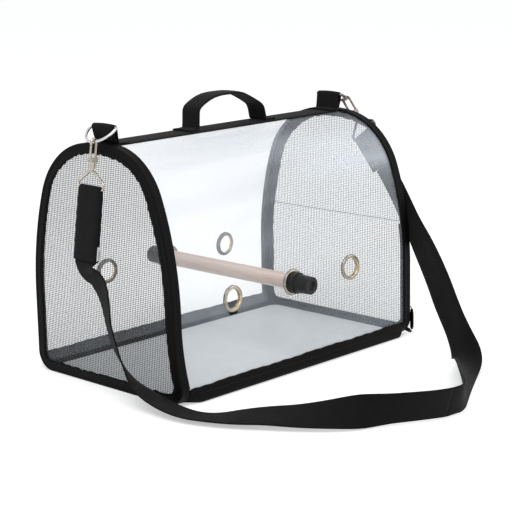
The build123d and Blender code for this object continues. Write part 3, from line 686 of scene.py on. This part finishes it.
def strap_half(name, run, node):
    """Half of the strap: webbing along its smooth line, twisting as its width direction says."""
    line = smooth_line([p for p, _ in run])
    edge = smooth_line([tuple(Vector(p) + 20 * Vector(w).normalized()) for p, w in run])
    wide = [b - a for a, b in zip(line, edge)]
    piece = band(name, line, wide, STRAP, WEB, webbing, across=8, gather=True)
    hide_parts(node)
    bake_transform(piece)


# From the hook's place on its ring down to the eye's bar, and the sleeve's roundness there
EYE_REACH, NOSE, NOSE_RADIUS, SHOULDERS = 55.0, 4.1, 4.15, 9.0


def strap_fold(name, node, body, seat, line, length, thickness_at):
    """End of the strap folded round the hook's eye and sewn: a soft flattened sleeve."""
    seat, line = Vector(seat), Vector(line).normalized()
    side = Vector((1, 0, 0)).cross(line).normalized()
    facing = side.cross(line)
    points, uvs, rows, around = [], [], 40, 28
    for i in range(rows):
        along = -NOSE + (length + NOSE) * (i / (rows - 1)) ** 1.15
        near_top = max(0.0, 1 - (along + NOSE) / SHOULDERS)
        half_w = STRAP / 2 + FOLD_PUFF - 3.2 * near_top**2
        half_t = thickness_at(along)
        if along < 0:
            half_t = sqrt(max(0.2, NOSE_RADIUS**2 - along**2))
        half_t = min(half_t, NOSE_RADIUS)
        for j in range(around):
            turn = 2 * pi * j / around
            a = half_w * np.sign(cos(turn)) * abs(cos(turn)) ** 0.35
            b = half_t * np.sign(sin(turn)) * abs(sin(turn)) ** 0.75
            points.append(tuple(seat + line * (EYE_REACH + along) + side * a + facing * b))
            uvs.append((along * MM, a * MM))
    faces = grid_faces(rows, around, wrap_columns=True)
    faces += [tuple(range(around)), tuple(range((rows - 1) * around, rows * around))]
    piece = outward(new_piece(name, points, faces, uvs, True, webbing))
    dress(piece, node, body)
    return piece


near_fold = strap_fold(
    "near_fold", "near_strap_fold", "near_eye",
    (-220.881, -4.574, 303.142), (-0.136, 0.011, -0.991), 85.5,
    lambda d: 4.1 - 0.7 * abs(d - 45) / 45,
)
far_fold = strap_fold(
    "far_fold", "far_strap_fold", "far_eye",
    (219.399, -14.141, 309.687), (0.02, -0.60, -0.80), 50.0,
    lambda d: max(2.0, 4.1 - 2.1 * d / 24),
)
strap_half("near_strap", near_run, "near_strap_run")
strap_half("far_strap", far_run, "far_strap_run")

# ---------------------------------------------------------------- bindings of the two ends
HOOP_INSET, HOOP_X, HOOP_RADIUS = 6.1, -205.8, 2.0
LIP = {"near": 13.8, "far": 13.2}


def soft_edge(run, inset):
    """Small waviness of a sewn tape, most at its free inner edges."""
    loose = min(1.0, inset / BINDING_WIDTH)
    waves = ((0.34, 4.3, 0.0), (0.38, 2.3, 1.0), (0.5, 17.0, 2.0), (0.28, 1.7, 0.4))
    return inset + loose**3 * sum(high * sin(run / length + start) for high, length, start in waves)


def binding_profile(sign, inner):
    """Folded tape over the edge: a ridged lip on the face and a lip on the shell."""
    points = [(2.4, sign * END)]
    for t in np.linspace(0, 1, 19):
        ridge = 0.3 * (0.5 - 0.5 * cos(3 * pi * t)) + 0.25 * t**6
        points.append((2.4 + (inner - 2.4) * t, sign * (END - 0.15 - ridge)))
    shell = sign * (END - BINDING)
    points += [(inner, sign * (END - 2.2)), (inner - 0.3, shell), (3.1, shell)]
    tuck = ((3.0, 0.9), (2.6, 0.2), (0.6, 0.2))
    points += [(inset, sign * (BOW_END + rise)) for inset, rise in tuck]
    for t in np.linspace(0, 1, 12):
        x = BOW_END + 0.5 + (END - 2.6 - BOW_END - 0.5) * t
        points.append((0.12 + 0.3 * (0.5 - 0.5 * cos(2 * pi * t)), sign * x))
    for a in np.linspace(0, pi / 2, 5)[1:-1]:
        points.append((2.4 - 2.3 * cos(a), sign * (END - 2.4 + 2.3 * sin(a))))
    return points


for end, sign in ENDS:
    lip = binding_profile(sign, LIP[end])
    piece = arch_sweep(f"{end}_binding", end_arch(sign), lip, binding_tape, sway=soft_edge)
    dress(piece, f"{end}_end_binding", "bag")


def ring_section(centre, radius, count):
    """A round section as (first, second) pairs about a centre."""
    turns = np.linspace(0, 2 * pi, count + 1)[:-1]
    return [(centre[0] + radius * cos(a), centre[1] + radius * sin(a)) for a in turns]


wire = ring_section((HOOP_INSET, HOOP_X), HOOP_RADIUS, 12)
hoop = arch_sweep("near_hoop_wire", end_arch(-1), wire, hoop_steel)
dress(hoop, "near_hoop", "bag")


def arch_loop(inset, x):
    """A closed line round the arch at an inset."""
    line = [(x, y - ny * inset, z - nz * inset) for (y, z), (ny, nz) in end_arch(x)]
    return line + line[:1]


for end, sign in ENDS:
    stitches(f"{end}_binding_stitches", [arch_loop(10.6, sign * (END - 0.25))])
    stitches(f"{end}_shell_stitches", [arch_loop(0.35, sign * (BOW_END + 3.2))])

# ---------------------------------------------------------------- bindings of the two long edges
FOOT_TOP, FOOT_UNDER, FOOT_FACE = 19.0, HALF - 32.5, HALF + 0.6
FOOT_CORNER, UNDERSIDE, BASE_TOP = 5.0, 0.12, 2.95
LINING_RADIUS = CORNER - BASE_TOP
NEAR_TAPER, FAR_TAPER = 22.0, 9.0


def foot_section(squareness):
    """Outer line of the long edge's tape: flat under the base, round the corner, up the face."""
    corner = FOOT_CORNER + (CORNER - FOOT_CORNER) * (1 - squareness)
    face = HALF + (FOOT_FACE - HALF) * squareness
    line = [(y, UNDERSIDE) for y in np.linspace(FOOT_UNDER, face - corner, 8)[:-1]]
    turn = arc(face - corner, UNDERSIDE + corner, corner, -pi / 2, 0, 12)
    line = [p for p in line + [place for place, _ in turn] if p[1] < FOOT_TOP - 2.5]
    for z in np.linspace(line[-1][1], FOOT_TOP, 15)[1:]:
        y = face if z > corner else face - corner + sqrt(max(0.0, corner**2 - (corner - z) ** 2))
        ridge = 0.55 * abs(sin(pi * (z - 3.0) / 7.6))
        line.append((y + (ridge - 0.55) * squareness, z))
    line.append((line[-1][0] - 1.1, FOOT_TOP + 0.9))
    return line


def foot_lining(squareness):
    """Inner line of the same tape, under the base and behind the face."""
    inner = []
    for y, z in foot_section(squareness):
        dy, dz = HALF - CORNER - y, CORNER - z
        if dy >= 0:
            inner.append((y, BASE_TOP))
        else:
            share = LINING_RADIUS / hypot(dy, dz)
            inner.append((HALF - CORNER - dy * share, CORNER - dz * share))
    return inner


def squareness_at(x, side):
    """The front tape is folded square but for its ends; the rear one keeps the round corner."""
    if side > 0:
        return 0.0
    share = min(1.0, (BOW_END - abs(x)) / (FAR_TAPER if x > 0 else NEAR_TAPER))
    return share * share * (3 - 2 * share)


def foot_binding(name, side):
    """Folded tape along a long edge, wavy at its free top."""
    points, uvs = [], []
    taper = BOW_END - FAR_TAPER
    xs = [*np.linspace(-BOW_END, taper, 88), *np.linspace(taper, BOW_END, 7)[1:]]
    for x in xs:
        square = squareness_at(x, side)
        wave = 0.3 * sin(x / 8.0) + 0.35 * sin(x / 3.1) + 0.4 * sin(x / 23.0)
        for y, z in foot_section(square) + foot_lining(square)[::-1]:
            points.append((x, side * y, max(0.02, z + wave * max(0.0, (z - 12) / 8))))
            uvs.append((x * MM, (y + z) * MM))
    count = len(points) // len(xs)
    faces = grid_faces(len(xs), count, wrap_columns=True)
    faces += [tuple(range(count)), tuple(range((len(xs) - 1) * count, len(xs) * count))]
    return outward(new_piece(name, points, faces, uvs, True, binding_tape))


# Place and half length of each foot's seam
FOOT_SEAM = {
    "front": (HALF + 0.9, 172),
    "rear": (HALF - CORNER + sqrt((CORNER - 0.2) ** 2 - (CORNER - 13.0) ** 2), 196),
}
for wall, side in WALLS:
    piece = foot_binding(f"{wall}_foot_binding", side)
    dress(piece, f"{wall}_base_binding", "bag")
    seam_y, reach = FOOT_SEAM[wall]
    seam = [(x, side * seam_y, 13.0) for x in np.linspace(-reach, reach, 60)]
    stitches(f"{wall}_foot_stitches", [seam])

# ---------------------------------------------------------------- clear walls
# Along the tunnel, how far the wall is drawn in there, and its slope in degrees
EYELETS = {"near": (-108.0, 14.0, 3.4), "mid": (0.0, MIDDLE_PINCH, 0.0), "far": (108.0, 14.0, -3.4)}
EYELET_Z, HOLE, HOLE_GRID = 110.0, 14.6, (11.0, 16.2)
FILM_OUT, FILM_END, FILM_THICKNESS = 3.1, 208.0, 0.7


def wall_section(x, side):
    """Outer face of a clear wall at a place along the tunnel, foot to crown."""
    pinch = pinch_at(x, side)
    low = wall_foot(pinch, FILM_OUT)
    upper = half_arch(2.0, max(pinch, 1e-6))
    return low + [(y - ny * FILM_OUT, z - nz * FILM_OUT) for (y, z), (ny, nz) in upper[1:]]


def settle_hole(points, keep, centre):
    """Opens a round hole in the wall's grid for an eyelet, its rim under the flange."""
    inside, outside = HOLE_GRID
    for i, (x, y, z) in enumerate(points):
        dx, dz = x - centre, z - EYELET_Z
        reach = hypot(dx, dz)
        if inside < reach < outside:
            points[i] = (centre + dx * (HOLE / reach), y, EYELET_Z + dz * (HOLE / reach))
        elif reach <= inside:
            keep[i] = False


def clear_wall(name, side):
    """A sheet of film from foot to crown with its three holes."""
    xs = sorted(set(np.round(np.concatenate([
        np.linspace(-FILM_END, FILM_END, 90),
        *[np.linspace(x - 16, x + 16, 9) for x, _, _ in EYELETS.values()],
    ]), 2)))
    points = []
    for x in xs:
        points += [(x, y, z) for y, z in wall_section(x, side)]
    columns = len(wall_section(0.0, side))
    keep = [True] * len(points)
    for x, _, _ in EYELETS.values():
        settle_hole(points, keep, x)
    faces = [f for f in grid_faces(len(xs), columns) if all(keep[v] for v in f)]
    used = sorted({v for f in faces for v in f})
    index = {v: i for i, v in enumerate(used)}
    faces = [tuple(index[v] for v in f) for f in faces]
    places = [(points[v][0], side * points[v][1], points[v][2]) for v in used]
    uvs = [(x * MM, z * MM) for x, _, z in places]
    piece = new_piece(name, places, faces, uvs, True, clear_film)
    work = bmesh.new()
    work.from_mesh(piece.data)
    for face in work.faces:
        if face.normal.y * side + face.normal.z < 0:
            face.normal_flip()
    work.to_mesh(piece.data)
    work.free()
    thick = piece.modifiers.new("film", "SOLIDIFY")
    thick.thickness = FILM_THICKNESS * MM
    thick.offset = -1.0
    return piece


MIDDLE_WALL = wall_section(0.0, 1)
for wall, side in WALLS:
    piece = clear_wall(f"{wall}_film", side)
    dress(piece, f"{wall}_window", "bag")

# ---------------------------------------------------------------- eyelets
EYELET_PROFILE = [
    (12.05, -2.9), (12.0, 0.2), (12.15, 1.2), (12.7, 1.75), (13.6, 1.98), (14.7, 1.9),
    (15.7, 1.45), (16.35, 0.85), (16.45, 0.32), (15.6, 0.3), (13.4, 0.3), (13.1, 0.2),
    (13.1, -0.8), (16.2, -0.85), (16.45, -1.4), (15.4, -2.1), (13.6, -2.3), (12.6, -2.75),
]
for wall, side in WALLS:
    for station, (x, pinch, slope) in EYELETS.items():
        rise = EYELET_Z - STRAIGHT_TOP
        y = HALF - pinch - SIDE + sqrt((SIDE - FILM_OUT) ** 2 - rise**2)
        axis = Vector((sin(radians(slope)), side, sin(radians(1.8))))
        centre = (x, side * y, EYELET_Z)
        piece = lathe(f"{wall}_{station}_ring", EYELET_PROFILE, centre, axis, plated)
        dress(piece, f"{wall}_{station}_eyelet", "bag")

# ---------------------------------------------------------------- mesh ends of real threads
THREAD, PITCH_ACROSS, PITCH_UP = 0.42, 3.0, 2.4


def threads(name, node, body, inset, x, low=0.0, high=HEIGHT):
    """Square mesh between two levels: upright threads, and level ones just behind them."""
    outline = [(y - ny * inset, z - nz * inset) for (y, z), (ny, nz) in end_arch(x)]
    loop = outline + outline[:1]

    def cuts(level, axis):
        """Where a straight thread enters and leaves the outline."""
        found = []
        for a, b in zip(loop, loop[1:]):
            if (a[axis] - level) * (b[axis] - level) < 0:
                t = (level - a[axis]) / (b[axis] - a[axis])
                found.append(a[1 - axis] + t * (b[1 - axis] - a[1 - axis]))
        return (min(found), max(found)) if len(found) > 1 else None

    lines, area = [], 0.0
    for y in np.arange(-HALF + PITCH_ACROSS * 0.37, HALF, PITCH_ACROSS):
        span = cuts(y, 0)
        if span:
            a, b = max(low, span[0]), min(high, span[1])
            if b - a > PITCH_ACROSS:
                lines.append([(x - THREAD / 2, y, a), (x - THREAD / 2, y, b)])
                area += (b - a) * PITCH_ACROSS
    cut_edges = [z for z in (low, high) if 0 < z < HEIGHT]
    for z in [*np.arange(PITCH_UP * 0.61, HEIGHT, PITCH_UP), *cut_edges]:
        span = cuts(z, 1)
        if span and low <= z <= high:
            lines.append([(x + THREAD / 2, span[0], z), (x + THREAD / 2, span[1], z)])
    width = {"Thread width": THREAD * MM, "Finish": mesh_thread}
    piece = grown(name, lines, THREADS, width, smooth=False)
    dress(piece, node, body)


threads("near_mesh", "near_mesh_panel", "bag", 3.4, -208.8)
threads("far_mesh", "far_mesh_upper", "bag", 3.4, 208.8, low=FLAP_TOP + 0.4)
threads("door_mesh", "flap_mesh", "flap", 15.2, 209.7, high=FLAP_TOP - 0.4)

# ---------------------------------------------------------------- crown strip, handle, tabs
ACROSS = (0, 1, 0)
STRIP_DROOP, HANDLE_DROOP = 1 / (2 * (CROWN - 2)), 1 / (2 * CROWN)
SEAM = 15.5

strip_line = [(x, 0, HEIGHT - 2.05) for x in np.linspace(-BOW_END, BOW_END, 60)]
strip = band("crown_strip", strip_line, [ACROSS] * len(strip_line), STRAP, WEB, webbing,
             across=14, droop=STRIP_DROOP)
dress(strip, "ridge_strip", "bag")
for wall, side in WALLS:
    seam_z = HEIGHT - 1.05 - SEAM**2 * STRIP_DROOP
    seam = [(x, side * SEAM, seam_z) for x in np.linspace(-196, 196, 60)]
    stitches(f"crown_stitches_{wall}", [seam])

HANDLE_FOOT, HANDLE_WIDTH, HANDLE_THICKNESS = 300.1, 30.0, 2.8
handle_line = smooth_line([(x, 0, z) for x, z in (
    (-77, HANDLE_FOOT), (-66, HANDLE_FOOT), (-60.5, HANDLE_FOOT + 0.4), (-59.6, HANDLE_FOOT + 5),
    (-59.2, 318), (-58.4, 325.5), (-52, 330.5), (-36, 337.6), (-20, 340.3), (0, 340.2),
    (16, 339.6), (30, 333.6), (46, 325.3), (55, 319.8), (58.2, 312), (59.6, HANDLE_FOOT + 4.5),
    (60.5, HANDLE_FOOT + 0.4), (66, HANDLE_FOOT), (77, HANDLE_FOOT),
)], 8)
handle = band("handle_webbing", handle_line, [ACROSS] * len(handle_line), HANDLE_WIDTH,
              HANDLE_THICKNESS, webbing, across=10, droop=HANDLE_DROOP)
dress(handle, "handle", "bag")

# The tab's loop over the D-ring's bar
BAR_X, BAR_Z, BAR_REACH = 200.5, 318.5, 3.15
for end, sign in ENDS:
    loop = [(178.5, 299.95), (188, 299.95), (194.3, 300.0), (195.5, 303), (196.2, 308)]
    loop.append((197.35, BAR_Z))
    for a in np.linspace(0, pi, 11)[1:]:
        loop.append((BAR_X - BAR_REACH * cos(a), BAR_Z + BAR_REACH * sin(a)))
    loop += [(200.9, 308), (198.5, 301.9)]
    line = [(sign * x, 0, z) for x, z in loop]
    tab = band(f"{end}_tab_loop", line, [ACROSS] * len(line), STRAP, WEB, webbing,
               across=14, droop=HANDLE_DROOP)
    dress(tab, f"{end}_tab", "bag")

# ---------------------------------------------------------------- zip of the flap
TAPE_X = END - BINDING - 0.2 - 0.9
TAPE_THICKNESS = 0.85
TOOTH = {"Pitch": 1.3 * MM, "Bit size": (0.9 * MM, 2.0 * MM, 2.2 * MM), "Roundness": 1}
FRAME_COIL, FLAP_COIL = 7.2, 7.2 + 1.6 + 1.2


def under(level, points, place):
    """Those of the arch's points under a level: down the -Y side, then up the +Y side."""
    low = [p for p in points if place(p)[1] <= level]
    return [p for p in low if place(p)[0] < 0] + [p for p in low if place(p)[0] >= 0]


def zip_side(name, node, body, outer, inner, coil, level):
    """Half of the zip: its tape, and its teeth at a coil's inset."""
    ring, inset = whole_arch(3.0), coil + 0.8
    face = TAPE_X + TAPE_THICKNESS
    profile = [(outer, TAPE_X), (inner, TAPE_X), (inner, face), (outer, face)]
    tape = arch_sweep(name, under(level, ring, lambda p: p[0]), profile, zip_tape, closed=False)
    dress(tape, node, body)
    line = [(y - ny * inset, z - nz * inset) for (y, z), (ny, nz) in ring]
    line = [(TAPE_X + 1.9, y, z) for y, z in under(level, line, lambda p: p)]
    teeth = grown(f"{name}_teeth", [line], ROWS, {**TOOTH, "Finish": zip_coil})
    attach(teeth, body)


zip_side("frame_zip_tape", "frame_zip", "bag",
         FRAME_COIL + 1.6 - 5.0, FRAME_COIL + 1.2, FRAME_COIL, FLAP_TOP)
zip_side("flap_zip_tape", "flap_zip", "flap",
         FLAP_COIL + 0.4, FLAP_COIL + 5.0, FLAP_COIL, FLAP_TOP - 0.2)

# ---------------------------------------------------------------- zip pulls on their links
PULL_X, LINK_RADIUS, LINK_WIRE = 214.7, 3.6, 0.55
link_section = ring_section((LINK_RADIUS, 0.0), LINK_WIRE, 8)


def tongue(t):
    """Width of a pull along its length: narrow at the link, rounded at its free end."""
    if t < 0.8:
        return 0.55 + 0.45 * min(1.0, t * 4)
    return sqrt(max(0.12, 1 - ((t - 0.8) / 0.205) ** 2))


shares = np.linspace(0, 1, 16)
for level, finish, centre, line, wide in (
    ("upper", black_lacquer, (PULL_X, -128.2, 36.0),
     [(PULL_X, -132.2, 36.0 - 28.5 * t) for t in shares], ACROSS),
    ("lower", cap_rubber, (PULL_X, -99.6, 9.2),
     [(PULL_X + 0.64 * t, -102.0 - 29.0 * t, 9.0 - 5.2 * t * t) for t in shares], (0, 0.15, 1)),
):
    tab = band(f"{level}_pull_tab", line, [wide] * len(line), 6.0, 1.5, finish, swell=tongue)
    dress(tab, f"{level}_pull", f"{level}_pull")
    hanger = lathe(f"{level}_pull_link", link_section, centre, (1, 0, 0.25), black_lacquer, 28)
    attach(hanger, f"{level}_pull")

# ---------------------------------------------------------------- floor, world and lamps
FAR_AWAY = 9000
corners = [(x * FAR_AWAY, y * FAR_AWAY, 0) for x, y in ((-1, -1), (1, -1), (1, 1), (-1, 1))]
floor = new_piece("floor", corners, [(0, 1, 2, 3)])
paper = Finish("pale floor", (238, 239, 240), 0.9, Specular_IOR_Level=0.1)
kinds, glow, both = paper.node("LightPath"), paper.node("Emission"), paper.node("AddShader")
seen = paper.sum(kinds.outputs["Is Camera Ray"], kinds.outputs["Is Glossy Ray"], "MAXIMUM")
seen = paper.sum(seen, kinds.outputs["Is Transmission Ray"], "MAXIMUM")
paper.join(paper.sum(seen, 0.45, "MULTIPLY"), glow.inputs["Strength"])
paper.join(paper.shader.outputs[0], both.inputs[0])
paper.join(glow.outputs[0], both.inputs[1])
paper.join(both.outputs[0], paper.nodes["Material Output"].inputs["Surface"])
floor.data.materials.append(paper.material)

world = bpy.data.worlds.new("studio")
bpy.context.scene.world = world
world.use_nodes = True
add, link = world.node_tree.nodes.new, world.node_tree.links.new
sky = world.node_tree.nodes["Background"]
sky.inputs["Color"].default_value = (1, 1, 1, 1)
rays, level = add("ShaderNodeLightPath"), add("ShaderNodeMapRange")
gloss, clear = add("ShaderNodeMath"), add("ShaderNodeMath")
gloss.operation = clear.operation = "MAXIMUM"
link(rays.outputs["Is Camera Ray"], gloss.inputs[0])
link(rays.outputs["Is Glossy Ray"], gloss.inputs[1])
link(gloss.outputs[0], clear.inputs[0])
link(rays.outputs["Is Transmission Ray"], clear.inputs[1])
link(clear.outputs[0], level.inputs["Value"])
level.inputs["To Min"].default_value = 0.6
level.inputs["To Max"].default_value = 1.0
link(level.outputs["Result"], sky.inputs["Strength"])


def lamp(name, place, size, watts):
    """A soft square lamp aimed at the carrier."""
    light = bpy.data.lights.new(name, "AREA")
    light.size, light.energy = size, watts
    holder = bpy.data.objects.new(name, light)
    holder.location = place
    beam = Vector((0, 0, 0.15)) - Vector(place)
    holder.rotation_euler = beam.to_track_quat("-Z", "Y").to_euler()
    bpy.context.scene.collection.objects.link(holder)


lamp("key", (-1.2, -1.0, 2.2), 1.6, 26)
lamp("fill", (1.6, -1.4, 1.3), 1.4, 9)
bpy.context.scene.view_settings.view_transform = "Standard"
